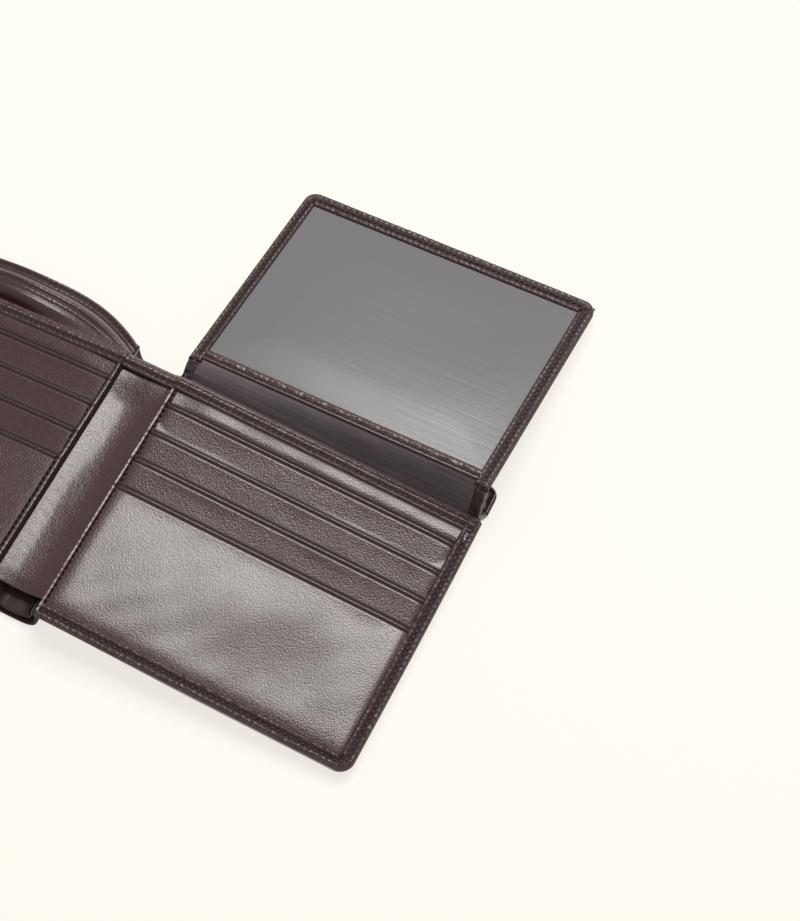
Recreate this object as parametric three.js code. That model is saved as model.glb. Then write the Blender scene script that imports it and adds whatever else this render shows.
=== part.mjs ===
// A bifold leather wallet lying open: two card halves joined by a soft spine, and a flap with a
// clear window that is hinged along the top of the right half and thrown back past it.
// Millimetres, +Z up. The origin is the middle of the flat underside of the spine, +X runs to the
// half with the flap, and +Y runs to the mouth of the note compartments.
// Each half is built flat in its own frame (x away from the spine, y from the bottom seam up,
// z = 0 at its uppermost face) and then tilted so that its free edge rests where the spine rests.
import * as THREE from 'three';

// --- Driving sizes of a half -------------------------------------------------------------
const PANEL_WIDTH = 94; // between the spine's stitching and the side seam
const BORDER = 3.8; // width of the stitched turned edge
const PANEL_HEIGHT = 79.5; // bottom seam to the top of the card panel
const COVER_RISE = 13.3; // outer cover above the top of the card panel
const DIVIDER_RISE = 8.5; // note divider above the top of the card panel
const SPINE_GAP = 17.4; // soft strip between the two halves
const HALF_TILT = THREE.MathUtils.degToRad(3.9); // how far a half slopes down from the spine
const CORNER_RADIUS = 3.5;
const HEM_WIDTH = 4.6; // folded and stitched top edge of a card panel
const TOP_STRIP = 5; // plain leather between the hem and the first pocket's lip
const SLOT_PITCH = 9.7; // from one card pocket's lip to the next
const SLOT_COUNT = 4; // the last one is the deep front pocket
const POCKET_TUCK = 6; // how far a pocket runs down behind the next lip
const SADDLE = 1.5; // from the spine stitching to the pockets' side edge
const MOUTH_DROP = 8.8; // how far the cover's mouth dips towards the spine
const MOUTH_RUN = 30; // over which the dip runs out along a half

// --- Leather and lining thicknesses, and the clearance between layers -------------------
const COVER_SKIN = 1.4;
const LINING_SKIN = 0.4;
const DIVIDER_SKIN = 0.6;
const PANEL_SKIN = 0.6;
const POCKET_SKIN = 0.5;
const EDGE_SKIN = 0.6;
const THREAD = 0.3;
const THREAD_WIDTH = 0.5;
const RUN_END = 1; // where a run of stitches stops short of its seam's end
const HEM_SEAM = 1; // hem's stitching from its lower edge
const LINING_INSET = 1; // the cover's lining inside its outline
const LINING_DROP = 2; // the cover's lining below its mouth
const DIVIDER_INSET = 0.5; // the divider inside the cover's outline
const CLEARANCE = 0.3;

// --- Spine ---------------------------------------------------------------------------------
const SPINE_FLAT = 5; // flat width on which the spine rests
const SPINE_INSET = 0.7; // from the spine's shell to the end of a half
const STRIP_RELIEF = 0.9; // strip below the line on which a half turns
const STRIP_START = 1; // the strip's lower end above the bottom seam

// --- Flap ----------------------------------------------------------------------------------
const FLAP_INDENT = 0.2; // from the spine's stitching
const FLAP_SIDE_MARGIN = 0.5; // inside a half's free edge
const FLAP_END_MARGIN = 4; // above the bottom seam when closed
const FLAP_BORDER_LEFT = 4;
const FLAP_BORDER_RIGHT = 4.5;
const FLAP_BORDER_END = 5.1;
const FLAP_HEEL = 1.2; // fold line to the start of the flap's skins
const BAR_START = 2.7; // fold line to the leather bar under the window
const BAR_WIDTH = 3.7;
const WINDOW_TUCK = 1.6; // how far the clear sheet runs under its frame
const FLAP_SKIN = 0.8;
const FLAP_LINING_SKIN = 0.3;
const FLAP_LINING_INSET = 0.8;
const WINDOW_SKIN = 0.25;
const FLAP_EDGE_SKIN = 0.4;
const FLAP_CORNER = 3;
const FLAP_GAP = 0.4; // between the closed flap's free edge and the card pockets
const FLAP_FACE = 1.5; // window side of the flap above its fold line
const FLAP_DROOP = THREE.MathUtils.degToRad(9.3); // thrown back, it slopes down to its free edge
const FLAP_ROLL = THREE.MathUtils.degToRad(5.2); // and lies nearly level, on a half that slopes
const GUSSET_SETBACK = 0.9; // of the gusset's foot past the top of the card panel
const GUSSET_REACH = 5.2; // from its foot to the fold line, at the spine side
const GUSSET_LEAN = THREE.MathUtils.degToRad(60); // thrown back; it stands upright when closed
const GUSSET_SKIN = 0.6;

// --- Levels in a half, from its uppermost face down ------------------------------------------
const LIP_TOP = 0;
const POCKET_TOP = LIP_TOP - POCKET_SKIN - CLEARANCE;
const POCKET_BASE = POCKET_TOP - POCKET_SKIN;
const PANEL_TOP = POCKET_BASE - CLEARANCE;
const PANEL_BASE = PANEL_TOP - PANEL_SKIN;
const DIVIDER_TOP = PANEL_BASE - CLEARANCE;
const DIVIDER_BASE = DIVIDER_TOP - DIVIDER_SKIN;
const LINING_TOP = DIVIDER_BASE - CLEARANCE;
const LINING_BASE = LINING_TOP - LINING_SKIN;
const COVER_TOP = LINING_BASE - CLEARANCE;
const COVER_BASE = COVER_TOP - COVER_SKIN;
const TURN_LEVEL = (PANEL_TOP + PANEL_BASE) / 2; // the leather bends at the card panel's skin

// --- Places worked out from them --------------------------------------------------------------
const HALF_WIDTH = PANEL_WIDTH + BORDER;
const COVER_HEIGHT = PANEL_HEIGHT + COVER_RISE;
const DIVIDER_HEIGHT = PANEL_HEIGHT + DIVIDER_RISE;
const HEM_START = PANEL_HEIGHT - HEM_WIDTH;
const TOP_LIP = HEM_START - TOP_STRIP;
const FLAP_START_X = FLAP_INDENT;
const FLAP_WIDTH = HALF_WIDTH - FLAP_SIDE_MARGIN - FLAP_INDENT;
const FLAP_LENGTH = PANEL_HEIGHT + GUSSET_SETBACK - FLAP_END_MARGIN;
const MID_HEIGHT = (COVER_HEIGHT - BORDER) / 2;
const SIN_TILT = Math.sin(HALF_TILT);
const COS_TILT = Math.cos(HALF_TILT);
const HALF_LIFT = HALF_WIDTH * SIN_TILT - COVER_BASE * COS_TILT; // free edge touches z = 0
const TURN_HEIGHT = HALF_LIFT + TURN_LEVEL * COS_TILT;
const SPINE_COVER_TOP = HALF_LIFT + COVER_TOP * COS_TILT;

// --- Finishes -----------------------------------------------------------------------------------
const finishes = {
  leather: { color: 0x57453f, roughness: 0.42, metalness: 0 },
  edge: { color: 0x3a292a, roughness: 0.5, metalness: 0 },
  lining: { color: 0x433c41, roughness: 0.85, metalness: 0 },
  window: { color: 0x8e8d93, roughness: 0.18, metalness: 0 },
  thread: { color: 0x4a3633, roughness: 0.7, metalness: 0 },
};

const wallet = new THREE.Group();
const spine = new THREE.Group();
const flap = new THREE.Group();
wallet.add(spine);
spine.position.y = -MID_HEIGHT;

/** Adds a closed geometry to a group as one named piece. */
function addPiece(group, name, geometry, finish) {
  const mesh = new THREE.Mesh(geometry, new THREE.MeshStandardMaterial(finishes[finish]));
  mesh.name = name;
  group.add(mesh);
}

/** A flat skin: an outline in x and y, raised from base to top. */
function skin(outline, base, top) {
  const solid = new THREE.ExtrudeGeometry(outline, {
    depth: top - base,
    bevelEnabled: false,
    curveSegments: 6,
  });
  solid.translate(0, 0, base);
  return solid;
}

/** A rectangle in x and y. */
function rectangle(x0, y0, x1, y1) {
  return new THREE.Shape([
    new THREE.Vector2(x0, y0),
    new THREE.Vector2(x1, y0),
    new THREE.Vector2(x1, y1),
    new THREE.Vector2(x0, y1),
  ]);
}

/** A profile in y and z, carried along x from start to end. */
function carriedAlongX(profile, start, end) {
  const solid = new THREE.ExtrudeGeometry(profile, { depth: end - start, bevelEnabled: false });
  // The outline's own axes become y and z, and its depth becomes x.
  const axes = new THREE.Matrix4().makeBasis(
    new THREE.Vector3(0, 1, 0),
    new THREE.Vector3(0, 0, 1),
    new THREE.Vector3(1, 0, 0),
  );
  solid.applyMatrix4(axes);
  solid.translate(start, 0, 0);
  return solid;
}

/** A profile in x and z, carried along y from start to end. */
function carriedAlongY(profile, start, end) {
  const solid = new THREE.ExtrudeGeometry(profile, {
    depth: end - start,
    bevelEnabled: false,
    curveSegments: 10,
  });
  const axes = new THREE.Matrix4().makeBasis(
    new THREE.Vector3(1, 0, 0),
    new THREE.Vector3(0, 0, 1),
    new THREE.Vector3(0, -1, 0),
  );
  solid.applyMatrix4(axes);
  solid.translate(0, end, 0);
  return solid;
}

/** A half's outline up to a mouth that dips towards the spine, with its free corners rounded. */
function mouthOutline(height, inset) {
  const right = HALF_WIDTH - inset;
  const bottom = -BORDER + inset;
  const radius = CORNER_RADIUS;
  const outline = new THREE.Shape();
  outline.moveTo(0, bottom);
  outline.lineTo(right - radius, bottom);
  outline.absarc(right - radius, bottom + radius, radius, -Math.PI / 2, 0);
  outline.lineTo(right, height - radius);
  outline.absarc(right - radius, height - radius, radius, 0, Math.PI / 2);
  outline.lineTo(MOUTH_RUN, height);
  outline.quadraticCurveTo(MOUTH_RUN / 3, height, 0, height - MOUTH_DROP);
  return outline;
}

/** The outline of a card panel, rounded at its free bottom corner. */
function panelOutline() {
  const outline = new THREE.Shape();
  outline.moveTo(0, -BORDER);
  outline.lineTo(HALF_WIDTH - CORNER_RADIUS, -BORDER);
  outline.absarc(HALF_WIDTH - CORNER_RADIUS, CORNER_RADIUS - BORDER, CORNER_RADIUS, -Math.PI / 2, 0);
  outline.lineTo(HALF_WIDTH, PANEL_HEIGHT);
  outline.lineTo(0, PANEL_HEIGHT);
  return outline;
}

/** An L-shaped band along the bottom and the free side, between two distances from the edge. */
function bandOutline(outer, inner, start, end) {
  const cornerX = HALF_WIDTH - CORNER_RADIUS;
  const cornerY = CORNER_RADIUS - BORDER;
  const outline = new THREE.Shape();
  outline.moveTo(start, outer - BORDER);
  outline.lineTo(cornerX, outer - BORDER);
  outline.absarc(cornerX, cornerY, CORNER_RADIUS - outer, -Math.PI / 2, 0);
  outline.lineTo(HALF_WIDTH - outer, end);
  outline.lineTo(HALF_WIDTH - inner, end);
  if (inner < CORNER_RADIUS) {
    outline.absarc(cornerX, cornerY, CORNER_RADIUS - inner, 0, -Math.PI / 2, true);
  } else {
    outline.lineTo(HALF_WIDTH - inner, inner - BORDER);
  }
  outline.lineTo(start, inner - BORDER);
  return outline;
}

/** A card pocket's section: flat on the panel, and lifted over the pocket above it to its lip. */
function pocketSection(bottom, lip, lifted) {
  const section = new THREE.Shape();
  if (!lifted) {
    section.moveTo(bottom, POCKET_BASE);
    section.lineTo(lip, POCKET_BASE);
    section.lineTo(lip, POCKET_TOP);
    section.lineTo(bottom, POCKET_TOP);
    return section;
  }
  const step = POCKET_SKIN + CLEARANCE;
  const rampEnd = lip - POCKET_TUCK - CLEARANCE;
  const rampStart = rampEnd - 3 * step;
  section.moveTo(bottom, POCKET_BASE);
  section.lineTo(rampStart, POCKET_BASE);
  section.lineTo(rampEnd, POCKET_BASE + step);
  section.lineTo(lip, POCKET_BASE + step);
  section.lineTo(lip, LIP_TOP);
  section.lineTo(rampEnd - CLEARANCE, LIP_TOP);
  section.lineTo(rampStart - CLEARANCE, POCKET_TOP);
  section.lineTo(bottom, POCKET_TOP);
  return section;
}

/** One card half, flat, with its pieces named for its side. */
function cardHalf(side) {
  const half = new THREE.Group();
  const bandEnd = HEM_START - CLEARANCE;
  const edgeTop = POCKET_BASE + EDGE_SKIN;
  const threadBase = edgeTop + CLEARANCE;
  const stitchInset = BORDER / 2 - THREAD_WIDTH / 2;

  addPiece(
    half,
    `outer_cover_${side}`,
    skin(mouthOutline(COVER_HEIGHT, 0), COVER_BASE, COVER_TOP),
    'leather',
  );
  addPiece(
    half,
    `cover_lining_${side}`,
    skin(mouthOutline(COVER_HEIGHT - LINING_DROP, LINING_INSET), LINING_BASE, LINING_TOP),
    'lining',
  );
  addPiece(
    half,
    `note_divider_${side}`,
    skin(mouthOutline(DIVIDER_HEIGHT, DIVIDER_INSET), DIVIDER_BASE, DIVIDER_TOP),
    'leather',
  );
  addPiece(half, `card_panel_${side}`, skin(panelOutline(), PANEL_BASE, PANEL_TOP), 'leather');
  addPiece(
    half,
    `edge_binding_${side}`,
    skin(bandOutline(0, BORDER, 0, bandEnd), POCKET_BASE, edgeTop),
    'edge',
  );
  addPiece(
    half,
    `edge_thread_${side}`,
    skin(
      bandOutline(stitchInset, stitchInset + THREAD_WIDTH, RUN_END, bandEnd - RUN_END),
      threadBase,
      threadBase + THREAD,
    ),
    'thread',
  );
  addPiece(
    half,
    `top_hem_${side}`,
    skin(rectangle(0, HEM_START, HALF_WIDTH, PANEL_HEIGHT), POCKET_BASE, edgeTop),
    'leather',
  );
  const hemStitch = HEM_START + HEM_SEAM;
  addPiece(
    half,
    `hem_thread_${side}`,
    skin(
      rectangle(RUN_END, hemStitch, HALF_WIDTH - RUN_END, hemStitch + THREAD_WIDTH),
      threadBase,
      threadBase + THREAD,
    ),
    'thread',
  );
  const saddleStart = (SADDLE - THREAD_WIDTH) / 2;
  addPiece(
    half,
    `pocket_thread_${side}`,
    skin(
      rectangle(saddleStart, CLEARANCE, saddleStart + THREAD_WIDTH, bandEnd),
      POCKET_BASE,
      POCKET_BASE + THREAD,
    ),
    'thread',
  );

  const pocketEnd = PANEL_WIDTH - CLEARANCE;
  for (let slot = 0; slot < SLOT_COUNT; slot++) {
    const lip = TOP_LIP - slot * SLOT_PITCH;
    const last = slot === SLOT_COUNT - 1;
    const bottom = last ? CLEARANCE : lip - SLOT_PITCH - POCKET_TUCK;
    const name = last ? `front_pocket_${side}` : `card_pocket_${side}_${slot + 1}`;
    addPiece(half, name, carriedAlongX(pocketSection(bottom, lip, slot > 0), SADDLE, pocketEnd), 'leather');
  }
  return half;
}

/** The section of one skin of the spine's trough: it dips to a flat bottom, in x and z. */
function troughSection(outerInset, wall, top) {
  const reach = SPINE_GAP / 2 - SPINE_INSET - outerInset;
  const inner = reach - wall;
  const flat = SPINE_FLAT / 2;
  const floor = outerInset;
  const section = new THREE.Shape();
  section.moveTo(-flat, floor);
  section.lineTo(flat, floor);
  section.quadraticCurveTo(reach, floor, reach, top);
  section.lineTo(inner, top);
  section.quadraticCurveTo(inner, floor + wall, flat, floor + wall);
  section.lineTo(-flat, floor + wall);
  section.quadraticCurveTo(-inner, floor + wall, -inner, top);
  section.lineTo(-reach, top);
  section.quadraticCurveTo(-reach, floor, -flat, floor);
  return section;
}

/** The soft spine: the outer cover, lining and divider as troughs, with the inner strip over them. */
function buildSpine() {
  const mouth = COVER_HEIGHT - MOUTH_DROP;
  const liningInset = COVER_SKIN + CLEARANCE;
  const dividerInset = liningInset + LINING_SKIN + CLEARANCE;
  addPiece(
    spine,
    'outer_cover_spine',
    carriedAlongY(troughSection(0, COVER_SKIN, SPINE_COVER_TOP), -BORDER, mouth),
    'leather',
  );
  addPiece(
    spine,
    'cover_lining_spine',
    carriedAlongY(
      troughSection(liningInset, LINING_SKIN, SPINE_COVER_TOP),
      LINING_INSET - BORDER,
      mouth - LINING_DROP,
    ),
    'lining',
  );
  addPiece(
    spine,
    'note_divider_spine',
    carriedAlongY(
      troughSection(dividerInset, DIVIDER_SKIN, SPINE_COVER_TOP),
      DIVIDER_INSET - BORDER,
      DIVIDER_HEIGHT - MOUTH_DROP,
    ),
    'leather',
  );

  // The strip and its hem lie low enough for the closed flap's side to swing over them.
  const stripTop = TURN_HEIGHT - STRIP_RELIEF;
  const stripHalf = SPINE_GAP / 2 - 2 * CLEARANCE;
  addPiece(
    spine,
    'spine_strip',
    skin(
      rectangle(-stripHalf, STRIP_START, stripHalf, HEM_START - CLEARANCE),
      stripTop - PANEL_SKIN,
      stripTop,
    ),
    'leather',
  );
  addPiece(
    spine,
    'top_hem_spine',
    skin(
      rectangle(-stripHalf, HEM_START, stripHalf, PANEL_HEIGHT),
      stripTop - EDGE_SKIN,
      stripTop,
    ),
    'leather',
  );
  const threadBase = stripTop + CLEARANCE / 2;
  const hemStitch = HEM_START + HEM_SEAM;
  addPiece(
    spine,
    'hem_thread_spine',
    skin(
      rectangle(RUN_END - stripHalf, hemStitch, stripHalf - RUN_END, hemStitch + THREAD_WIDTH),
      threadBase,
      threadBase + THREAD,
    ),
    'thread',
  );
}

/** The flap's outline from its heel to its free edge, drawn in by an inset, its free corners round. */
function flapOutline(inset, start) {
  const left = FLAP_START_X + inset;
  const right = FLAP_START_X + FLAP_WIDTH - inset;
  const end = FLAP_LENGTH - inset;
  const radius = FLAP_CORNER;
  const outline = new THREE.Shape();
  outline.moveTo(left, start);
  outline.lineTo(right, start);
  outline.lineTo(right, end - radius);
  outline.absarc(right - radius, end - radius, radius, 0, Math.PI / 2);
  outline.lineTo(left + radius, end);
  outline.absarc(left + radius, end - radius, radius, Math.PI / 2, Math.PI);
  return outline;
}

/** A three-sided band round the flap, open at the hinge: outer inset, then widths of its arms. */
function flapBand(outer, start, leftArm, rightArm, endArm) {
  const left = FLAP_START_X + outer;
  const right = FLAP_START_X + FLAP_WIDTH - outer;
  const end = FLAP_LENGTH - outer;
  const radius = FLAP_CORNER - outer;
  const outline = new THREE.Shape();
  outline.moveTo(left, start);
  outline.lineTo(left + leftArm, start);
  if (endArm < radius) {
    const inside = radius - endArm;
    outline.absarc(left + radius, end - radius, inside, Math.PI, Math.PI / 2, true);
    outline.absarc(right - radius, end - radius, inside, Math.PI / 2, 0, true);
  } else {
    outline.lineTo(left + leftArm, end - endArm);
    outline.lineTo(right - rightArm, end - endArm);
  }
  outline.lineTo(right - rightArm, start);
  outline.lineTo(right, start);
  outline.lineTo(right, end - radius);
  outline.absarc(right - radius, end - radius, radius, 0, Math.PI / 2);
  outline.lineTo(left + radius, end);
  outline.absarc(left + radius, end - radius, radius, Math.PI / 2, Math.PI);
  return outline;
}

/** The flap, flat in its own frame: x along its heel, y to the free edge, z to the window side. */
function buildFlap() {
  const threadGap = CLEARANCE / 2;
  const edgeTop = FLAP_FACE - THREAD / 2 - threadGap;
  const edgeBase = edgeTop - FLAP_EDGE_SKIN;
  const windowTop = edgeBase - CLEARANCE;
  const windowBase = windowTop - WINDOW_SKIN;
  const liningTop = windowBase - CLEARANCE;
  const liningBase = liningTop - FLAP_LINING_SKIN;
  const backTop = liningBase - CLEARANCE;
  const windowLeft = FLAP_START_X + FLAP_BORDER_LEFT;
  const windowRight = FLAP_START_X + FLAP_WIDTH - FLAP_BORDER_RIGHT;
  const barEnd = BAR_START + BAR_WIDTH;

  addPiece(flap, 'flap_back', skin(flapOutline(0, FLAP_HEEL), backTop - FLAP_SKIN, backTop), 'leather');
  addPiece(
    flap,
    'flap_lining',
    skin(flapOutline(FLAP_LINING_INSET, FLAP_HEEL), liningBase, liningTop),
    'lining',
  );
  addPiece(
    flap,
    'id_window',
    skin(
      rectangle(
        windowLeft - WINDOW_TUCK,
        barEnd - WINDOW_TUCK,
        windowRight + WINDOW_TUCK,
        FLAP_LENGTH - FLAP_BORDER_END + WINDOW_TUCK,
      ),
      windowBase,
      windowTop,
    ),
    'window',
  );
  addPiece(
    flap,
    'flap_binding',
    skin(
      flapBand(0, FLAP_HEEL, FLAP_BORDER_LEFT, FLAP_BORDER_RIGHT, FLAP_BORDER_END),
      edgeBase,
      edgeTop,
    ),
    'edge',
  );
  addPiece(
    flap,
    'window_bar',
    skin(
      rectangle(windowLeft + CLEARANCE, BAR_START, windowRight - CLEARANCE, barEnd),
      edgeBase,
      edgeTop,
    ),
    'edge',
  );
  const stitchInset = FLAP_BORDER_LEFT / 2;
  addPiece(
    flap,
    'flap_thread',
    skin(
      flapBand(stitchInset, FLAP_HEEL + RUN_END, THREAD_WIDTH, THREAD_WIDTH, THREAD_WIDTH),
      edgeTop + threadGap,
      FLAP_FACE,
    ),
    'thread',
  );
  const barMiddle = BAR_START + BAR_WIDTH / 2;
  addPiece(
    flap,
    'bar_thread',
    skin(
      rectangle(
        windowLeft + RUN_END,
        barMiddle - THREAD_WIDTH / 2,
        windowRight - RUN_END,
        barMiddle + THREAD_WIDTH / 2,
      ),
      edgeTop + threadGap,
      FLAP_FACE,
    ),
    'thread',
  );
}

/** The gusset between the right card panel and the flap: foot at y = 0, growing with the fold line. */
function flapGusset(foldSlope) {
  const start = FLAP_START_X + RUN_END;
  const end = FLAP_START_X + FLAP_WIDTH - RUN_END;
  const reach = GUSSET_REACH - FLAP_HEEL;
  const outline = new THREE.Shape();
  outline.moveTo(start, CLEARANCE);
  outline.lineTo(end, CLEARANCE);
  outline.lineTo(end, reach + foldSlope * (end - start));
  outline.lineTo(start, reach);
  return skin(outline, -GUSSET_SKIN / 2, GUSSET_SKIN / 2);
}

buildSpine();
buildFlap();

const rightHalf = cardHalf('right');
rightHalf.position.set(SPINE_GAP / 2, 0, HALF_LIFT);
rightHalf.rotation.y = HALF_TILT;

// The left half mirrors the right one, without the flap.
const leftHalf = cardHalf('left');
leftHalf.scale.x = -1;
leftHalf.position.set(-SPINE_GAP / 2, 0, HALF_LIFT);
leftHalf.rotation.y = -HALF_TILT;

// The flap bends twice: where its gusset leaves the card panel, and where the gusset meets the flap.
const alongPanel = new THREE.Vector3(1, 0, 0);
const foot = new THREE.Vector3(0, PANEL_HEIGHT + GUSSET_SETBACK, TURN_LEVEL);
const lean = new THREE.Vector3(0, Math.cos(GUSSET_LEAN), Math.sin(GUSSET_LEAN));
const gussetNormal = new THREE.Vector3().crossVectors(alongPanel, lean);
const closedHeight = TURN_LEVEL + GUSSET_REACH - FLAP_FACE - FLAP_GAP;
const closedSlope = Math.asin(closedHeight / FLAP_LENGTH);
const thrownBack = new THREE.Quaternion().setFromEuler(new THREE.Euler(-FLAP_DROOP, -FLAP_ROLL, 0, 'YXZ'));
const closed = new THREE.Quaternion().setFromAxisAngle(alongPanel, Math.PI + closedSlope);
const gussetTurn = new THREE.Quaternion().setFromAxisAngle(alongPanel, Math.PI / 2 - GUSSET_LEAN);

// The fold line is the axis of the turn that is left once the gusset's own turn is taken away.
const foldTurn = gussetTurn.clone().invert().multiply(closed).multiply(thrownBack.clone().invert());
const foldLine = new THREE.Vector3(foldTurn.x, foldTurn.y, foldTurn.z).normalize();
const foldSlope = foldLine.dot(lean) / foldLine.x;

const gusset = new THREE.Group();
gusset.quaternion.setFromRotationMatrix(new THREE.Matrix4().makeBasis(alongPanel, lean, gussetNormal));
gusset.position.copy(foot);
addPiece(gusset, 'flap_gusset', flapGusset(foldSlope), 'lining');

flap.quaternion.copy(thrownBack);
flap.position.copy(foot).addScaledVector(lean, GUSSET_REACH);

rightHalf.add(gusset, flap);
spine.add(rightHalf, leftHalf);

export default wallet;
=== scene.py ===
"""Looks of an open bifold wallet: glazed calf leather, turned and stitched edges, a clear window.

Every piece is built in the frame of its own part of the wallet, in millimetres, and then laid
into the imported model's frame. Each half lies with x away from the spine, y from its bottom seam
up and z = 0 at its uppermost face. The flap has x along its fold, y to its free edge and z to the
side with the window.
"""

import logging
import math
from dataclasses import dataclass, field
from enum import Enum
from typing import Sequence

import bpy
import numpy as np
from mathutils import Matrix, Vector

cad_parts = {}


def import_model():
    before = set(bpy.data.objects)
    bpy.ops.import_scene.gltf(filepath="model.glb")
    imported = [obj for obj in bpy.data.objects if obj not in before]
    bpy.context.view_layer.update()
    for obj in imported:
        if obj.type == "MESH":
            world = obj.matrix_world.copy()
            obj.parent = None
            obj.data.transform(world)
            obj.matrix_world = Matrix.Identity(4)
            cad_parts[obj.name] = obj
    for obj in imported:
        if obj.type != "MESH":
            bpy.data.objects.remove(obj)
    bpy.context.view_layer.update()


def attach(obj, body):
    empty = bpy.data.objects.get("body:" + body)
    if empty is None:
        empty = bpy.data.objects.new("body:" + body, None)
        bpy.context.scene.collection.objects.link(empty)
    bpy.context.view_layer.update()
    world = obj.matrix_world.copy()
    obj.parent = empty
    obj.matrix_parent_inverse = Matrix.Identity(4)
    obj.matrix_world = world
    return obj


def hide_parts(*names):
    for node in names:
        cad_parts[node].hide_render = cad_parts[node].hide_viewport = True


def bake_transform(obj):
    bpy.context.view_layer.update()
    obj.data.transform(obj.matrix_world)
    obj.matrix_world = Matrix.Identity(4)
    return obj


LOG = logging.getLogger("wallet")
MM = 0.001

# Sizes of the wallet, in millimetres.
PANEL_WIDTH = 94.0
BORDER = 3.8
HALF_WIDTH = PANEL_WIDTH + BORDER
PANEL_HEIGHT = 79.5
COVER_HEIGHT = 92.8
DIVIDER_HEIGHT = 88.0
SPINE_GAP = 17.4
MID_HEIGHT = 44.5
HALF_LIFT = 12.139
HALF_TILT = math.radians(3.9)
CORNER = 3.5
HEM_WIDTH = 4.6
HEM_START = PANEL_HEIGHT - HEM_WIDTH
TOP_LIP = HEM_START - 5.0
SLOT_PITCH = 9.7
MOUTH_DROP = 8.8
MOUTH_RUN = 30.0
SADDLE = 1.5

# Seams: where the stitches lie, and their size.
STITCH_PITCH = 1.9
STITCH_LENGTH = 1.35
STITCH_SLANT = 0.16
THREAD_RADIUS = 0.24
SEAM_LEVEL = -0.72
HEM_SEAM = HEM_START + 1.55

# Levels in a half, down from its uppermost face.
PANEL_TOP = -1.6
DIVIDER_TOP = -2.5
LINING_TOP = -3.4
COVER_TOP = -4.1

# The flap.
FLAP_LEFT = 0.2
FLAP_WIDTH = 97.1
FLAP_SKEW = math.radians(-5.2)
FLAP_TILT = math.radians(-9.3)
FLAP_RIGHT = FLAP_LEFT + FLAP_WIDTH
FLAP_LENGTH = 76.4
FLAP_CORNER = 4.0
FLAP_HEEL = 1.2
BAR_START = 2.7
BAR_WIDTH = 3.7
ARM_LEFT = 4.0
ARM_RIGHT = 4.5
ARM_END = 5.1
GUSSET_REACH = 5.2
GUSSET_LEAN = math.radians(60)
GUSSET_FOOT = (0.0, PANEL_HEIGHT + 0.9, -1.9)

# Dark, dull leather where an iron or a needle presses it, also used as painted shade in grooves, hollows
# and on rims turned from the lamp.
PRESSED_AND_SHADE = "#241213"
PRESSED_ROUGHNESS = 0.85

UP = np.array([0.0, 0.0, 1.0])

Points = np.ndarray
Tree = bpy.types.NodeTree
Socket = bpy.types.NodeSocket
Colour = tuple[float, float, float, float]


class Body(Enum):
    """The wallet's moving bodies."""

    SPINE = "spine"
    RIGHT = "right_half"
    LEFT = "left_half"
    GUSSET = "gusset"
    FLAP = "id_flap"


class Slot(Enum):
    """The finishes that the record lists."""

    CALF = "calf_leather"
    EDGE = "edge_leather"
    LINING = "lining"
    CLEAR = "clear_sheet"
    THREAD = "thread"


def to_linear(colour: str) -> Colour:
    """Turns an sRGB hex colour to linear light.

    Args:
        colour: Six hex digits after a hash.

    Returns:
        Red, green, blue and an alpha of 1.
    """
    parts = [int(colour[i : i + 2], 16) / 255 for i in (1, 3, 5)]
    lit = [p / 12.92 if p <= 0.04045 else ((p + 0.055) / 1.055) ** 2.4 for p in parts]
    return lit[0], lit[1], lit[2], 1.0


def add_node(tree: Tree, kind: str, inputs: dict | None = None, **settings: object) -> bpy.types.Node:
    """Adds a shader node with its settings, its values and its links.

    Args:
        tree: The material's node tree.
        kind: The node's type name.
        inputs: A value or another node's output socket for each named input.
        **settings: The node's own properties.

    Returns:
        The new node.
    """
    node = tree.nodes.new(kind)
    for name, value in settings.items():
        setattr(node, name, value)
    for name, value in (inputs or {}).items():
        if isinstance(value, Socket):
            tree.links.new(value, node.inputs[name])
        else:
            node.inputs[name].default_value = value
    return node


def start_material(name: str) -> tuple[bpy.types.Material, Tree, Socket]:
    """Starts a material whose patterns are laid out in millimetres on the object itself.

    Args:
        name: The material's name.

    Returns:
        The material, its empty node tree and the position in millimetres.
    """
    material = bpy.data.materials.new(name)
    material.use_nodes = True
    tree = material.node_tree
    tree.nodes.clear()
    place = add_node(tree, "ShaderNodeTexCoord").outputs["Object"]
    scaled = add_node(tree, "ShaderNodeVectorMath", {0: place, 1: (1 / MM,) * 3}, operation="MULTIPLY")
    return material, tree, scaled.outputs[0]


def noise(tree: Tree, place: Socket, size: float, detail: float, roughness: float = 0.5,
          distortion: float = 0.0) -> Socket:
    """Adds a noise pattern.

    Args:
        tree: The material's node tree.
        place: The position in millimetres.
        size: The usual size of its patches, in millimetres.
        detail: How many finer octaves it carries.
        roughness: How strong they are.
        distortion: How far it is stirred.

    Returns:
        The pattern, from 0 to 1.
    """
    inputs = {"Vector": place, "Scale": 1 / size, "Detail": detail}
    inputs |= {"Roughness": roughness, "Distortion": distortion}
    return add_node(tree, "ShaderNodeTexNoise", inputs).outputs["Fac"]


def mixed(tree: Tree, share: Socket, low: Socket | Colour | float, high: Colour | float,
          kind: str = "RGBA") -> Socket:
    """Mixes two colours or two numbers.

    Args:
        tree: The material's node tree.
        share: How much of the second there is, from 0 to 1.
        low: The first.
        high: The second.
        kind: "RGBA" for colours, or "FLOAT".

    Returns:
        The mix.
    """
    first, result = (6, 2) if kind == "RGBA" else (2, 0)
    node = add_node(tree, "ShaderNodeMix", {0: share, first: low, first + 1: high}, data_type=kind)
    return node.outputs[result]


def spread(tree: Tree, pattern: Socket, low: float, high: float) -> Socket:
    """Spreads a pattern of 0 to 1 over another range."""
    inputs = {"Value": pattern, "To Min": low, "To Max": high}
    return add_node(tree, "ShaderNodeMapRange", inputs).outputs[0]


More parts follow.
